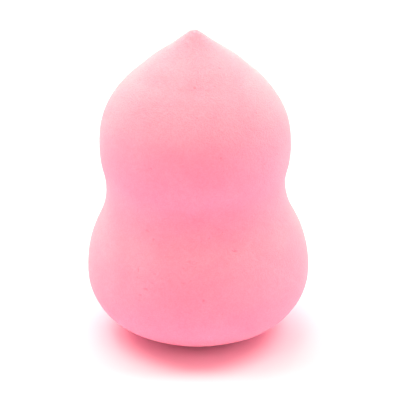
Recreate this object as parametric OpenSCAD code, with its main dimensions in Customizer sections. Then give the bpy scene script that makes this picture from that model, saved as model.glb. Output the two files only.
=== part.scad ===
// Gourd-shaped make-up sponge: one solid body of soft open-cell foam.
// It is a body of revolution that stands on a small flat base. Going up its outline, each
// arc runs into the next without a corner: crowned underside, side of the lower bulb,
// hollow waist, ball of the upper bulb, and a cone that ends in a small rounded tip.
// Points of the outline are [distance from the axis, height].

/* [Whole sponge] */
// Height from the flat base to the tip
overall_h = 60; // [55:0.5:68]

/* [Lower bulb] */
// Diameter of the lower bulb where it is widest
lower_bulb_d = 41.8; // [39:0.2:45]
// Height of the widest part of the lower bulb
lower_bulb_z = 12.8; // [11.5:0.1:14.5]
// Radius of the crowned underside
crown_r = 32; // [29:0.5:36]
// Diameter of the flat face that the sponge rests on
base_d = 14; // [8:0.5:15]

/* [Waist] */
// Diameter of the waist where it is narrowest
waist_d = 33.4; // [31:0.2:34.4]
// Share of the way up, from the lower bulb's widest part to the upper one's, at which the waist lies
waist_share = 0.68; // [0.55:0.01:0.74]
// Share of the curve between a bulb and the waist that is hollow
hollow_share = 0.4; // [0.2:0.01:0.6]

/* [Upper bulb] */
// Diameter of the upper bulb, which is a ball above its widest part
upper_bulb_d = 35.6; // [34.8:0.2:37.6]
// Distance from the tip down to the widest part of the upper bulb
upper_bulb_drop = 22.4; // [21.2:0.1:24]
// Radius of the rounded tip
tip_r = 1.8; // [0.5:0.1:3]

/* [Foam] */
// Colour of the foam
foam_colour = "#FF9DB2"; // ["#FF9DB2":Pink, "#F3D9C6":Beige, "#B9A3E3":Lilac, "#3A3A3C":Black]

/* [Hidden] */
$fn = 180;
arc_step_angle = 3;

lower_r = lower_bulb_d/2;
waist_r = waist_d/2;
upper_r = upper_bulb_d/2;
base_r = base_d/2;

upper_bulb_z = overall_h - upper_bulb_drop;
waist_z = lower_bulb_z + waist_share*(upper_bulb_z - lower_bulb_z);

// The underside's arc has its centre on the axis and starts at the edge of the flat base
crown_c = [0, sqrt(crown_r^2 - base_r^2)];

// The side arc touches the underside's arc from inside and ends upright at the widest point
side_r = (crown_r^2 - lower_r^2 - (crown_c.y - lower_bulb_z)^2)/(2*(crown_r - lower_r));
side_c = [lower_r - side_r, lower_bulb_z];

// Between a bulb and the waist, a round flank hands over to a hollow that ends upright
lower_sum = radii_sum(lower_r - waist_r, waist_z - lower_bulb_z);
upper_sum = radii_sum(upper_r - waist_r, upper_bulb_z - waist_z);
lower_hollow_r = hollow_share*lower_sum;
upper_hollow_r = hollow_share*upper_sum;
lower_flank_r = lower_sum - lower_hollow_r;
upper_flank_r = upper_sum - upper_hollow_r;
lower_flank_c = [lower_r - lower_flank_r, lower_bulb_z];
upper_flank_c = [upper_r - upper_flank_r, upper_bulb_z];
lower_hollow_c = [waist_r + lower_hollow_r, waist_z];
upper_hollow_c = [waist_r + upper_hollow_r, waist_z];

// The cone touches the ball of the upper bulb and the ball of the tip
ball_c = [0, upper_bulb_z];
tip_c = [0, overall_h - tip_r];
cone_slope = asin((upper_r - tip_r)/(tip_c.y - ball_c.y));

// Directions, as seen from an arc's centre, in which it hands over to the next one
base_dir = direction(crown_c, [base_r, 0]);
crown_end_dir = direction(crown_c, side_c);
lower_turn_dir = direction(lower_flank_c, lower_hollow_c);
upper_turn_dir = direction(upper_flank_c, upper_hollow_c);

// Radii of two arcs that lead from upright to upright across a step, added together
function radii_sum(across, up) = (across^2 + up^2)/(2*across);

// Angle of the way from one point to another
function direction(from, to) = atan2(to.y - from.y, to.x - from.x);

// Points along an arc between two angles
function arc(centre, r, from, to) =
    let (steps = ceil(abs(to - from)/arc_step_angle))
    [for (i = [0:steps]) let (a = from + (to - from)*i/steps) centre + r*[cos(a), sin(a)]];

// Right half of the sponge's outline, from the base up to the tip
outline = [
    [0, 0],
    each arc(crown_c, crown_r, base_dir, crown_end_dir),
    each arc(side_c, side_r, crown_end_dir, 0),
    each arc(lower_flank_c, lower_flank_r, 0, lower_turn_dir),
    each arc(lower_hollow_c, lower_hollow_r, lower_turn_dir + 180, 180),
    each arc(upper_hollow_c, upper_hollow_r, 180, upper_turn_dir + 180),
    each arc(upper_flank_c, upper_flank_r, upper_turn_dir, 0),
    each arc(ball_c, upper_r, 0, cone_slope),
    each arc(tip_c, tip_r, cone_slope, 90)
];

// The moulded foam: solid all through, with no skin, core or seam
module foam_body() {
    color(foam_colour) rotate_extrude() polygon(outline);
}

foam_body();
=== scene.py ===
# %% [markdown]
# A gourd-shaped make-up sponge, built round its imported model.
#
# The real object is one block of soft polyurethane foam: a wide lower bulb, a shallow
# waist, a smaller upper bulb and a pointed tip. It is ground to shape from a foam block, so
# its skin is matt and velvety, with cells finer than a third of a millimetre and a few
# pinholes where a larger bubble was cut open.
#
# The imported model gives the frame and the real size, so it is loaded first and never
# changed. All lengths here are metres, in the model's own frame: +Z runs up the sponge's
# axis, and the photograph is taken from -Y.

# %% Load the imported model
import math
import random
from typing import NamedTuple

import bpy
import numpy as np
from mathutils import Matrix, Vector
from mathutils.bvhtree import BVHTree


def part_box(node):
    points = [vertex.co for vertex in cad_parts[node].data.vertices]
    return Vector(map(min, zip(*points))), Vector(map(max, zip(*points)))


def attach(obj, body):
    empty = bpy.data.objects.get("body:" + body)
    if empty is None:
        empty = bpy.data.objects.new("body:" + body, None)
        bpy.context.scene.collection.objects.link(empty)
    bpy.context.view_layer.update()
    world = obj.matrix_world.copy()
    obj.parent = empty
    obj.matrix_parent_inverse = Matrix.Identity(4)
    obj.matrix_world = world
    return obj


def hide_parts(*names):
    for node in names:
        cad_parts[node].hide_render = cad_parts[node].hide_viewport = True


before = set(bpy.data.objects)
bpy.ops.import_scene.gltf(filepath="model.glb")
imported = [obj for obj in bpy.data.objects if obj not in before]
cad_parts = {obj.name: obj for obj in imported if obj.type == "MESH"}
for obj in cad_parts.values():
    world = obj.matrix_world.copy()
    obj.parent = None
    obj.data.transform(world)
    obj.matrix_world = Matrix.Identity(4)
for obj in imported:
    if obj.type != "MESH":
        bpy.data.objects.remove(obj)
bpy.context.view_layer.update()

MM = 0.001

# %% [markdown]
# The camera comes first, because some marks on the foam are placed where the photograph
# shows them, and only the camera can say where that is on the sponge. The photograph looks
# down on the sponge at about 24 degrees: from lower down, its shadow would be flatter. A
# long lens keeps the sponge's upright sides nearly parallel, as the photograph has them.

# %% Camera
IMAGE_SIDE = 400
VIEW_ELEVATION = math.radians(24)
VIEW_DISTANCE = 450*MM
PIXELS_PER_MM = 5.33
SENSOR_WIDTH = 36
NEAREST_SEEN = 10*MM
AIM = Vector((0.36, 0, 26.1))*MM

camera_data = bpy.data.cameras.new("photo_camera")
camera = bpy.data.objects.new("photo_camera", camera_data)
bpy.context.scene.collection.objects.link(camera)
bpy.context.scene.camera = camera
towards_camera = Vector((0, -math.cos(VIEW_ELEVATION), math.sin(VIEW_ELEVATION)))
camera.location = AIM + VIEW_DISTANCE*towards_camera
camera.rotation_euler = (math.pi/2 - VIEW_ELEVATION, 0, 0)
camera_data.sensor_width = SENSOR_WIDTH
camera_data.lens = SENSOR_WIDTH*PIXELS_PER_MM*(VIEW_DISTANCE/MM)/IMAGE_SIDE
camera_data.clip_start = NEAREST_SEEN
print("lens in mm:", round(camera_data.lens, 1))

# %% [markdown]
# The outline is drawn once and then turned round the axis. It could be a Bezier curve
# pulled by hand, but arcs that touch each other have real sizes that can be measured, and
# they run into one another without a corner. The overall height and width come from the
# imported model. The other sizes are the ones that its source is built with.

# %% Sizes of the outline
low_corner, high_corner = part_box("foam_body")
overall_h = high_corner[2] - low_corner[2]
lower_r = (high_corner[0] - low_corner[0])/2
lower_bulb_z = 12.8*MM
crown_r = 32*MM
base_r = 7*MM
waist_r = 16.7*MM
waist_share = 0.68
hollow_share = 0.4
upper_r = 17.8*MM
upper_bulb_drop = 22.4*MM
tip_r = 1.8*MM

upper_bulb_z = overall_h - upper_bulb_drop
waist_z = lower_bulb_z + waist_share*(upper_bulb_z - lower_bulb_z)
print("height, lower, waist and upper diameter in mm:",
      [round(size/MM, 2) for size in (overall_h, 2*lower_r, 2*waist_r, 2*upper_r)])

# %% Arcs that touch each other
POINT_STEP = 0.42*MM


def direction(start, end):
    """Angle of the way from one point to another."""
    return math.atan2(end[1] - start[1], end[0] - start[0])


def radii_sum(across, up):
    """Radii of two arcs that lead from upright to upright across a step, added together."""
    return (across**2 + up**2)/(2*across)


def arc(centre, radius, start, end):
    """Evenly spaced points [distance from the axis, height] along an arc."""
    steps = max(2, math.ceil(abs(end - start)*radius/POINT_STEP))
    angles = [start + (end - start)*i/steps for i in range(steps + 1)]
    return [(centre[0] + radius*math.cos(a), centre[1] + radius*math.sin(a)) for a in angles]


def straight(start, end):
    """Evenly spaced points from one point to another."""
    steps = max(1, math.ceil(math.dist(start, end)/POINT_STEP))
    return [(start[0] + (end[0] - start[0])*i/steps, start[1] + (end[1] - start[1])*i/steps)
            for i in range(steps + 1)]


# %% Outline from the base to the tip
crown_c = (0, math.sqrt(crown_r**2 - base_r**2))
side_r = (crown_r**2 - lower_r**2 - (crown_c[1] - lower_bulb_z)**2)/(2*(crown_r - lower_r))
side_c = (lower_r - side_r, lower_bulb_z)

lower_sum = radii_sum(lower_r - waist_r, waist_z - lower_bulb_z)
upper_sum = radii_sum(upper_r - waist_r, upper_bulb_z - waist_z)
lower_hollow_r, upper_hollow_r = hollow_share*lower_sum, hollow_share*upper_sum
lower_flank_r, upper_flank_r = lower_sum - lower_hollow_r, upper_sum - upper_hollow_r
lower_flank_c = (lower_r - lower_flank_r, lower_bulb_z)
upper_flank_c = (upper_r - upper_flank_r, upper_bulb_z)
lower_hollow_c = (waist_r + lower_hollow_r, waist_z)
upper_hollow_c = (waist_r + upper_hollow_r, waist_z)

ball_c = (0, upper_bulb_z)
tip_c = (0, overall_h - tip_r)
cone_slope = math.asin((upper_r - tip_r)/(tip_c[1] - ball_c[1]))

crown_end = direction(crown_c, side_c)
lower_turn = direction(lower_flank_c, lower_hollow_c)
upper_turn = direction(upper_flank_c, upper_hollow_c)
ball_part = arc(ball_c, upper_r, 0, cone_slope)
tip_part = arc(tip_c, tip_r, cone_slope, math.pi/2)

parts = [
    straight((0, 0), (base_r, 0)),
    arc(crown_c, crown_r, direction(crown_c, (base_r, 0)), crown_end),
    arc(side_c, side_r, crown_end, 0),
    arc(lower_flank_c, lower_flank_r, 0, lower_turn),
    arc(lower_hollow_c, lower_hollow_r, lower_turn + math.pi, math.pi),
    arc(upper_hollow_c, upper_hollow_r, math.pi, upper_turn + math.pi),
    arc(upper_flank_c, upper_flank_r, upper_turn, 0),
    ball_part,
    straight(ball_part[-1], tip_part[0]),
    tip_part,
]
outline = parts[0] + [point for part in parts[1:] for point in part[1:]]
print("points in the outline:", len(outline))

# %% [markdown]
# By hand, an outline like this is made from a single vertex that is extruded from point to
# point, and Spin then sweeps it round. Blender has no single-vertex primitive, so a small
# plane is added and merged to one vertex first. Spin leaves its last copy on top of the
# first, and all copies of the two end points lie on the axis: merging by distance closes
# the seam and both poles, and the normals are worked out again after it.

# %% Spin the outline
STEPS_AROUND = 288
MERGE_DISTANCE = 0.001*MM
START_SIZE = MM


def deselect_everything():
    """Leaves object mode with nothing selected, so that the next operator acts on one object."""
    if bpy.context.object and bpy.context.object.mode != "OBJECT":
        bpy.ops.object.mode_set(mode="OBJECT")
    bpy.ops.object.select_all(action="DESELECT")


def spin_body(name, points):
    """Body of revolution round the Z axis, from the points of its outline."""
    deselect_everything()
    bpy.ops.mesh.primitive_plane_add(size=START_SIZE, location=(0, 0, 0))
    body = bpy.context.object
    body.name = body.data.name = name
    bpy.ops.object.mode_set(mode="EDIT")
    bpy.ops.mesh.select_all(action="SELECT")
    bpy.ops.mesh.merge(type="CENTER")
    bpy.ops.transform.translate(value=(points[0][0], 0, points[0][1]))
    for start, end in zip(points, points[1:]):
        move = {"value": (end[0] - start[0], 0, end[1] - start[1])}
        bpy.ops.mesh.extrude_region_move(TRANSFORM_OT_translate=move)
    bpy.ops.mesh.select_all(action="SELECT")
    bpy.ops.mesh.spin(steps=STEPS_AROUND, angle=2*math.pi, center=(0, 0, 0), axis=(0, 0, 1))
    bpy.ops.mesh.select_all(action="SELECT")
    bpy.ops.mesh.remove_doubles(threshold=MERGE_DISTANCE)
    bpy.ops.mesh.normals_make_consistent(inside=False)
    bpy.ops.object.mode_set(mode="OBJECT")
    return body


sponge = spin_body("sponge_foam", outline)
print("after the spin:", len(sponge.data.vertices), "vertices,",
      len(sponge.data.polygons), "faces")

# %% [markdown]
# No foam sponge is as true as a turned one. In the photograph everything above the lower
# bulb stands about half a millimetre to the left, and the cone is a little fuller than a
# straight one. Both are small pulls with proportional editing: a few rings are selected by
# their height and moved or scaled, and the rings beside them follow less and less.

# %% Pull the rings into the photographed shape
LEAN = -0.56*MM
LEAN_FROM = 33*MM
LEAN_REACH = 13*MM
TIP_LEAN = -0.12*MM
TIP_LEAN_REACH = 24*MM
FULLER = [  # height, reach up and down, growth of the radius
    (54.6*MM, 5.5*MM, 1.045),
    (43.5*MM, 6*MM, 1.012),
]
CHECK_HEIGHTS = [5*MM, 14*MM, 22*MM, 30*MM, 45*MM, 59*MM]


def coordinates(obj):
    """Places of a mesh's vertices, one row each."""
    flat = np.empty(3*len(obj.data.vertices))
    obj.data.vertices.foreach_get("co", flat)
    return flat.reshape(-1, 3)


def select_vertices(obj, wanted):
    """Selects exactly the wanted vertices and goes into edit mode."""
    deselect_everything()
    bpy.context.view_layer.objects.active = obj
    obj.select_set(True)
    bpy.ops.object.mode_set(mode="EDIT")
    bpy.ops.mesh.select_mode(type="VERT")
    bpy.ops.mesh.select_all(action="DESELECT")
    bpy.ops.object.mode_set(mode="OBJECT")
    obj.data.vertices.foreach_set("select", wanted)
    bpy.ops.object.mode_set(mode="EDIT")


for height, reach, growth in FULLER:
    select_vertices(sponge, np.abs(coordinates(sponge)[:, 2] - height) < POINT_STEP/2)
    bpy.ops.transform.resize(value=(growth, growth, 1), center_override=(0, 0, height),
                             use_proportional_edit=True, proportional_size=reach,
                             proportional_edit_falloff="SMOOTH")
for move, lowest, reach in ((LEAN, LEAN_FROM, LEAN_REACH),
                            (TIP_LEAN, overall_h - POINT_STEP, TIP_LEAN_REACH)):
    select_vertices(sponge, coordinates(sponge)[:, 2] > lowest)
    bpy.ops.transform.translate(value=(move, 0, 0), use_proportional_edit=True,
                                proportional_size=reach, proportional_edit_falloff="SMOOTH")
bpy.ops.object.mode_set(mode="OBJECT")
places = coordinates(sponge)
for height in CHECK_HEIGHTS:
    ring = places[np.abs(places[:, 2] - height) < POINT_STEP]
    print("ring at", round(height/MM, 1), "mm: middle", round(ring[:, 0].mean()/MM, 2),
          "radius", round((ring[:, 0].max() - ring[:, 0].min())/2/MM, 2))

# %% [markdown]
# A grinding wheel follows foam that gives way under it, so the skin has slow, shallow waves
# that no arc has. A Displace modifier with a cloud texture makes them: fifteen hundredths of
# a millimetre in or out, over a centimetre or so. A vertex group fades them out towards the
# flat base, because the sponge must still stand on it without rocking.

# %% Shallow waves in the skin
WAVE_LENGTH = 13*MM
WAVE_DEPTH = 0.30*MM
WAVE_DETAIL = 1
FLAT_BELOW = 0.3*MM
FULL_ABOVE = 3.5*MM


def displace(obj, group, strength, texture=None):
    """Moves a mesh along its normals by a vertex group's weight, and applies that."""
    deselect_everything()
    bpy.context.view_layer.objects.active = obj
    obj.select_set(True)
    modifier = obj.modifiers.new(group, "DISPLACE")
    modifier.strength = strength
    modifier.vertex_group = group
    if texture:
        modifier.texture = texture
        modifier.texture_coords = "LOCAL"
        modifier.mid_level = 0.5
    else:
        modifier.mid_level = 0
    bpy.ops.object.modifier_apply(modifier=modifier.name)


waves = bpy.data.textures.new("skin_waves", "CLOUDS")
waves.noise_scale = WAVE_LENGTH
waves.noise_depth = WAVE_DETAIL
fade = sponge.vertex_groups.new(name="waves")
before = coordinates(sponge)
for index, z in enumerate(before[:, 2]):
    share = min(max((z - FLAT_BELOW)/(FULL_ABOVE - FLAT_BELOW), 0), 1)
    fade.add([index], share*share*(3 - 2*share), "REPLACE")
displace(sponge, "waves", WAVE_DEPTH, waves)
moved = np.linalg.norm(coordinates(sponge) - before, axis=1)
print("waves in mm: usual", round(float(moved.mean())/MM, 3),
      "largest", round(float(moved.max())/MM, 3))

# %% [markdown]
# Where the grinding opened a larger bubble, the skin has a pinhole, and where something
# hard rubbed it, a short scratch. The photograph shows a few of them, all faint. Each one is
# written down by its place in the picture, its length, its width and its tilt. The camera's
# ray through that place finds the point on the foam, so the mark really lies on the skin.

# %% Pinholes and scratches that the photograph shows
SHOWN_MARKS = [  # picture x and y, length and width in mm, tilt in degrees, depth in mm
    (147, 230.5, 1.2, 0.6, -15, 0.11), (153, 239, 0.7, 0.6, 0, 0.13),
    (158, 245, 1.4, 0.4, 88, 0.07), (198, 230, 0.8, 0.5, 0, 0.09),
    (209, 237.5, 0.5, 0.5, 0, 0.10), (233.5, 251, 1.6, 0.7, -4, 0.15),
    (189, 262, 0.7, 0.5, 60, 0.12), (195, 267, 0.5, 0.45, 45, 0.10),
    (183, 268.5, 0.5, 0.45, -40, 0.10), (180, 271, 0.5, 0.45, -40, 0.09),
    (138, 269.5, 1.3, 0.5, 86, 0.13), (137, 277, 0.9, 0.5, 80, 0.11),
    (154, 273.5, 0.9, 0.6, 5, 0.11), (161.5, 278, 0.8, 0.5, 0, 0.09),
    (151, 282.5, 1.7, 0.6, -8, 0.11), (145, 288.5, 1.6, 0.7, -5, 0.14),
    (140, 294.5, 0.8, 0.6, 30, 0.12), (139, 300, 0.8, 0.5, 0, 0.09),
    (169.5, 281, 0.6, 0.5, 0, 0.09), (169.5, 290, 0.8, 0.5, 0, 0.09),
    (182.5, 283, 1.0, 0.5, 0, 0.11), (190, 281, 0.6, 0.45, 0, 0.09),
    (203, 300.5, 1.0, 0.7, 85, 0.14), (194, 88, 0.7, 0.5, 0, 0.12),
    (214, 86, 0.6, 0.5, 0, 0.11), (219, 68, 0.9, 0.5, -15, 0.12),
    (220, 158, 0.6, 0.5, 0, 0.11), (158, 139, 0.6, 0.5, 20, 0.12),
    (151, 168, 0.6, 0.5, 0, 0.11), (180, 181, 0.6, 0.5, 0, 0.10),
]
bpy.context.view_layer.update()
skin = BVHTree.FromObject(sponge, bpy.context.evaluated_depsgraph_get())
focal_pixels = camera_data.lens/camera_data.sensor_width*IMAGE_SIDE
camera_turn = camera.matrix_world.to_3x3()


class Mark(NamedTuple):
    """A pinhole or scratch: where it is, which way it lies and how large it is."""

    place: Vector
    along: Vector
    across: Vector
    out: Vector
    half_length: float
    half_width: float
    depth: float


def point_behind_pixel(x, y):
    """Place and normal of the skin where the camera's ray through a pixel meets it."""
    right, up = x + 0.5 - IMAGE_SIDE/2, IMAGE_SIDE/2 - y - 0.5
    way = Vector((right/focal_pixels, up/focal_pixels, -1))
    return skin.ray_cast(camera.location, (camera_turn @ way).normalized())[:2]


def mark_at(place, normal, level, tilt, length, width, depth):
    """A mark on the skin, turned by its tilt from the level direction."""
    along = (level - level.dot(normal)*normal).normalized()
    across = normal.cross(along)
    along, across = (along*math.cos(tilt) + across*math.sin(tilt),
                     across*math.cos(tilt) - along*math.sin(tilt))
    return Mark(place, along, across, normal, length/2, width/2, depth)


marks = []
for x, y, length, width, tilt, depth in SHOWN_MARKS:
    place, normal = point_behind_pixel(x, y)
    marks.append(mark_at(place, normal, camera_turn.col[0], math.radians(tilt),
                         length*MM, width*MM, depth*MM))
print("marks that the photograph shows:", len(marks))

# %% [markdown]
# The photograph shows one side only. The rest of the skin came off the same wheel, so it
# gets pinholes of the same kind, spread by chance. A height and an angle are drawn, and a
# level ray towards the axis finds the skin there. The draws start from a fixed seed and ask
# nothing of the faces, whose order can change, so that every run gives the same sponge.

# %% Pinholes on the sides that the photograph hides
HIDDEN_MARKS = 34
SEED = 7
LOWEST_MARK = 3*MM
HIGHEST_MARK = 57*MM
SPACING = 3*MM
FACING_AWAY = -0.1
LENGTHS = (0.5*MM, 0.6*MM, 0.8*MM, 1.2*MM, 1.6*MM)
WIDTHS = (0.45*MM, 0.65*MM)
DEPTHS = (0.09*MM, 0.14*MM)

chance = random.Random(SEED)
while len(marks) < len(SHOWN_MARKS) + HIDDEN_MARKS:
    height = chance.uniform(LOWEST_MARK, HIGHEST_MARK)
    angle = chance.uniform(0, 2*math.pi)
    inwards = Vector((-math.cos(angle), -math.sin(angle), 0))
    place, normal = skin.ray_cast(Vector((0, 0, height)) - 2*lower_r*inwards, inwards)[:2]
    taken = any((place - mark.place).length < SPACING for mark in marks)
    if taken or normal.dot(towards_camera) > FACING_AWAY:
        continue
    level = Vector((0, 0, 1)).cross(normal)
    marks.append(mark_at(place, normal, level, chance.uniform(0, math.pi), chance.choice(LENGTHS),
                         chance.uniform(*WIDTHS), chance.uniform(*DEPTHS)))
print("marks in all:", len(marks))

# %% [markdown]
# A pinhole is smaller than one face of the mesh, so the faces round each mark are first
# subdivided. The marks are then pressed in as by weight painting: a vertex group holds how
# deep each vertex goes, and a Displace modifier moves the vertices against their normals.
# The same weights stay on the mesh as an attribute, which the foam's material reads to paint shade
# into the marks.

# %% Press the marks into the skin
CUTS = 3
DEEPEST = max(mark.depth for mark in marks)


def mark_shares(points):
    """How deep each point lies in the nearest mark, from 0 outside to 1 in the deepest."""
    deepest = np.zeros(len(points))
    for mark in marks:
        away = points - np.array(mark.place)
        distance = (away @ np.array(mark.along)/mark.half_length)**2
        distance += (away @ np.array(mark.across)/mark.half_width)**2
        distance += (away @ np.array(mark.out)/mark.half_length)**2
        deepest = np.maximum(deepest, mark.depth/DEEPEST*np.clip(1 - distance, 0, 1)**2)
    return deepest


middles = np.array([face.center for face in sponge.data.polygons])
near = np.zeros(len(middles), dtype=bool)
for mark in marks:
    distances = np.linalg.norm(middles - np.array(mark.place), axis=1)
    near |= distances < mark.half_length + POINT_STEP
select_vertices(sponge, np.zeros(len(sponge.data.vertices), dtype=bool))
bpy.ops.mesh.select_mode(type="FACE")
bpy.ops.object.mode_set(mode="OBJECT")
sponge.data.polygons.foreach_set("select", near)
bpy.ops.object.mode_set(mode="EDIT")
bpy.ops.mesh.subdivide(number_cuts=CUTS)
bpy.ops.object.mode_set(mode="OBJECT")

points = coordinates(sponge)
shares = mark_shares(points)
pressed = sponge.vertex_groups.new(name="marks")
for index in np.flatnonzero(shares):
    pressed.add([int(index)], float(shares[index]), "REPLACE")
displace(sponge, "marks", -DEEPEST)
attribute = sponge.data.attributes.new("pinhole", "FLOAT", "POINT")
attribute.data.foreach_set("value", shares)
sponge.vertex_groups.clear()
triangles = sum(len(face.vertices) - 2 for face in sponge.data.polygons)
print("faces subdivided:", int(near.sum()), "triangles in all:", triangles)

# %% Smooth the piece, hang it on the root and hide the imported part
bpy.ops.object.shade_smooth()
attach(sponge, "root")
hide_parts("foam_body")
print("piece:", sponge.name)

# %% [markdown]
# A material is a tree of nodes, and its arithmetic is easier to read as a sum than as a row
# of boxes. Signal wraps one output socket, so that an expression such as 1 - grain adds the
# Math node for it. Finish holds a material's tree, and its one method adds any other node:
# its settings first, and then the values or links of its sockets.

# %% Shader sums and nodes


class Signal:
    """One output socket of a node, for use in sums."""

    def __init__(self, finish, socket):
        self.finish, self.socket = finish, socket

    def math(self, operation, *values):
        return self.finish.node("ShaderNodeMath", {"operation": operation}, values)

    def __add__(self, other):
        return self.math("ADD", self, other)

    def __sub__(self, other):
        return self.math("SUBTRACT", self, other)

    def __rsub__(self, other):
        return self.math("SUBTRACT", other, self)

    def __mul__(self, other):
        return self.math("MULTIPLY", self, other)

    __radd__ = __add__
    __rmul__ = __mul__


class Finish:
    """A material and its node tree."""

    def __init__(self, name):
        self.material = bpy.data.materials.new(name)
        self.material.use_nodes = True
        self.tree = self.material.node_tree
        self.shader = self.tree.nodes["Principled BSDF"]

    def node(self, kind, settings=None, values=(), output=0):
        """Adds a node. Values are a row for the first sockets, or sockets by name or number."""
        node = self.tree.nodes.new(kind)
        for setting, value in (settings or {}).items():
            setattr(node, setting, value)
        pairs = values.items() if isinstance(values, dict) else enumerate(values)
        for socket, value in pairs:
            self.feed(node.inputs[socket], value)
        return Signal(self, node.outputs[output])

    def feed(self, socket, value):
        """Links a signal to a socket, or sets the socket's own value."""
        if isinstance(value, Signal):
            self.tree.links.new(value.socket, socket)
        else:
            socket.default_value = value

    def colour_mix(self, share, first, second):
        """Goes from the first colour to the second as the share goes from 0 to 1."""
        return self.node("ShaderNodeMix", {"data_type": "RGBA"}, {0: share, 6: first, 7: second}, 2)

    def band(self, value, low, high):
        """Goes smoothly from 0 at the low value to 1 at the high one."""
        return self.node("ShaderNodeMapRange", {"interpolation_type": "SMOOTHSTEP"},
                         [value, low, high, 0, 1])


# %% [markdown]
# Foam has no pattern that can be printed on it: what shows is the network of its cells. The
# dye is a little uneven over a centimetre. The cells open at the skin are about a quarter
# of a millimetre wide, with thin walls between them, and here and there one is larger. All
# of these are solid textures that read the place on the object, so they run through the
# skin without a seam, as the cells of real foam do.

# %% Foam: cells and dye
CELL = 0.26*MM
LARGE_CELL = 1.5*MM
DYE_PATCH = 8*MM
DYE_DETAIL = 3
GRAIN = 0.55*MM
GRAIN_DETAIL = 4
GRAIN_ROUGHNESS = 0.6
CELL_SMOOTHNESS = 0.4

foam = Finish("pink_foam")
spot = foam.node("ShaderNodeTexCoord", output="Object")
dye = foam.node("ShaderNodeTexNoise", None,
                {"Vector": spot, "Scale": 1/DYE_PATCH, "Detail": DYE_DETAIL})
grain = foam.node("ShaderNodeTexNoise", None,
                  {"Vector": spot, "Scale": 1/GRAIN, "Detail": GRAIN_DETAIL,
                   "Roughness": GRAIN_ROUGHNESS})
cells = foam.node("ShaderNodeTexVoronoi", {"feature": "SMOOTH_F1"},
                  {"Vector": spot, "Scale": 1/CELL, "Smoothness": CELL_SMOOTHNESS}, "Distance")
large_cells = {"Vector": spot, "Scale": 1/LARGE_CELL}
large_distance = foam.node("ShaderNodeTexVoronoi", None, large_cells, "Distance")
large_chance = foam.node("ShaderNodeTexVoronoi", None, large_cells, "Color")
pinhole = foam.node("ShaderNodeAttribute", {"attribute_name": "pinhole"}, output="Fac")
print("nodes for cells and dye:", len(foam.tree.nodes))

# %% [markdown]
# Three things deepen the pink. The darker grain is the dye's own uneven tone. The hollow
# middles of the cells, and most of all the larger cells and the pinholes, are darkened as
# painted shade, because little light comes back out of them. The walls between the cells
# stand up in the relief, and the open cells lie low in it.

# %% Foam: colour, roughness and relief
PINK = (0.99, 0.316, 0.525, 1)
PALE_PINK = (0.99, 0.340, 0.551, 1)
DEEP_PINK = (0.97, 0.211, 0.374, 1)
DYE_BAND = (0.35, 0.65)
WALL_BAND = (0.15, 0.75)
DARK_GRAIN_BAND = (0.6, 0.35)
OPEN_CELL_BAND = (0.84, 0.86)
OPEN_CELL_RADIUS = 0.15
CELL_HOLLOW_PAINTED_SHADE, GRAIN_SHADE, OPEN_CELL_PAINTED_SHADE, PINHOLE_PAINTED_SHADE = 0.26, 0.16, 0.5, 0.45
WALL_HEIGHT, GRAIN_HEIGHT, OPEN_CELL_DEPTH = 0.5, 0.9, 1.4
RELIEF = 0.08*MM
RELIEF_STRENGTH = 1.0
ROUGHNESS, ROUGHNESS_OF_GRAIN = 0.86, 0.1

open_cell = foam.band(foam.node("ShaderNodeSeparateColor", None, [large_chance]), *OPEN_CELL_BAND)
open_cell = open_cell*(1 - foam.band(large_distance, 0, OPEN_CELL_RADIUS))
wall = foam.band(cells, *WALL_BAND)
colour = foam.colour_mix(foam.band(dye, *DYE_BAND), PINK, PALE_PINK)
# Grain is the dye's own darker tone; cell hollows, open cells and pinholes add painted shade, all
# mixed towards the deep pink.
painted_shade_and_grain = CELL_HOLLOW_PAINTED_SHADE*(1 - wall) + GRAIN_SHADE*foam.band(grain, *DARK_GRAIN_BAND)
painted_shade_and_grain = painted_shade_and_grain + OPEN_CELL_PAINTED_SHADE*open_cell + PINHOLE_PAINTED_SHADE*pinhole
painted_shade_and_grain = foam.node("ShaderNodeClamp", None, [painted_shade_and_grain])
foam.feed(foam.shader.inputs["Base Color"], foam.colour_mix(painted_shade_and_grain, colour, DEEP_PINK))
foam.feed(foam.shader.inputs["Roughness"], ROUGHNESS + ROUGHNESS_OF_GRAIN*grain)
relief = {"Strength": RELIEF_STRENGTH, "Distance": RELIEF,
          "Height": WALL_HEIGHT*wall + GRAIN_HEIGHT*grain - OPEN_CELL_DEPTH*open_cell}
foam.feed(foam.shader.inputs["Normal"], foam.node("ShaderNodeBump", None, relief))
print("nodes in the foam:", len(foam.tree.nodes))

# %% [markdown]
# Light that meets foam at a slant is caught by the standing edges of its cells, and the
# skin looks paler there. Sheen does that. Some light also goes in through the open cells,
# wanders for a millimetre or so and comes out again, red light the farthest, because the
# dye takes up the least of it. That is subsurface scattering, and it softens the shading.
# Foam has no gloss of its own, so the specular level is nought.

# %% Foam: velvet edge and light inside
SHEEN = 0.15
SHEEN_ROUGHNESS = 0.5
SCATTERED_SHARE = 0.5
SCATTER_REACH = 1.5*MM
REACH_BY_COLOUR = (1, 0.4, 0.45)

foam.shader.inputs["Specular IOR Level"].default_value = 0
foam.shader.inputs["Sheen Weight"].default_value = SHEEN
foam.shader.inputs["Sheen Roughness"].default_value = SHEEN_ROUGHNESS
foam.shader.inputs["Subsurface Weight"].default_value = SCATTERED_SHARE
foam.shader.inputs["Subsurface Radius"].default_value = REACH_BY_COLOUR
foam.shader.inputs["Subsurface Scale"].default_value = SCATTER_REACH
sponge.data.materials.append(foam.material)
print("light wanders in the foam, mm:",
      [round(SCATTER_REACH*reach/MM, 2) for reach in REACH_BY_COLOUR])

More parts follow.
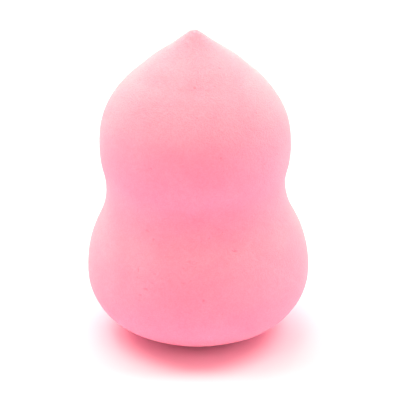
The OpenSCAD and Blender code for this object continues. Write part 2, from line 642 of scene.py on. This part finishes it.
# %% [markdown]
# The sponge stands on plain paper. The photograph is lit so brightly that the paper burns
# out to white, and its own colour counts only in the shadow. The shadow there is as pink as
# the foam, because most of its light has been thrown to and fro between the paper and the
# sponge's underside. A quite white paper would make it greyer, so this one is a pale pink
# that throws back nearly all red and blue but less of the green.

# %% Floor
PAPER = (0.99, 0.67, 0.955, 1)
FLOOR_SIDE = 4

deselect_everything()
bpy.ops.mesh.primitive_plane_add(size=FLOOR_SIDE)
floor = bpy.context.object
floor.name = "floor"
paper = Finish("paper")
paper.shader.inputs["Base Color"].default_value = PAPER
paper.shader.inputs["Roughness"].default_value = 1
paper.shader.inputs["Specular IOR Level"].default_value = 0
floor.data.materials.append(paper.material)
print("floor:", FLOOR_SIDE, "m wide")

# %% [markdown]
# Soft shadows and no highlight mean large lamps all round. The shadow spreads to the left
# and right and lies mostly in front of the sponge, so the strongest lamps stand high on
# both sides, one more behind it and one overhead. The front is lit only by weak lamps and
# by what the paper throws back, which is why it keeps the deepest pink.
#
# The lamps are warm white. Where they reach the foam straight, its pink leans to salmon, and
# where the light has been thrown to and fro, in the waist and under the sponge, it leans to
# rose, as in the photograph.

# %% Lights
LAMP_DISTANCE = 1.2
WARM_WHITE = (1.12, 1, 0.66)
ROOM_LIGHT = 0.62
LAMPS = [  # name, degrees round and up, light that reaches the sponge, width in metres
    ("right_high", 75, 55, 1.98, 0.7),
    ("left_high", -75, 55, 1.74, 0.7),
    ("back_high", -10, 52, 1.75, 1.0),
    ("above", -90, 82, 1.27, 0.9),
    ("right_low", 65, 8, 0.53, 0.6),
    ("left_low", -75, 8, 0.20, 0.6),
    ("front_high", 160, 40, 0.14, 0.6),
]


def softbox(name, azimuth, elevation, irradiance, width):
    """Round softbox aimed at the sponge: azimuth 0 is behind it, 90 on the camera's right."""
    data = bpy.data.lights.new(name, "AREA")
    data.shape = "DISK"
    data.size = width
    data.color = WARM_WHITE
    data.energy = irradiance*math.pi*LAMP_DISTANCE**2
    lamp = bpy.data.objects.new(name, data)
    bpy.context.scene.collection.objects.link(lamp)
    a, e = math.radians(azimuth), math.radians(elevation)
    way = Vector((math.sin(a)*math.cos(e), math.cos(a)*math.cos(e), math.sin(e)))
    lamp.location = Vector((0, 0, overall_h/2)) + LAMP_DISTANCE*way
    lamp.rotation_euler = way.to_track_quat("Z", "Y").to_euler()


for lamp_row in LAMPS:
    softbox(*lamp_row)

world = bpy.data.worlds.new("studio")
bpy.context.scene.world = world
world.use_nodes = True
room = world.node_tree.nodes["Background"]
room.inputs["Color"].default_value = (*WARM_WHITE, 1)
room.inputs["Strength"].default_value = ROOM_LIGHT
bpy.context.scene.view_settings.view_transform = "Standard"
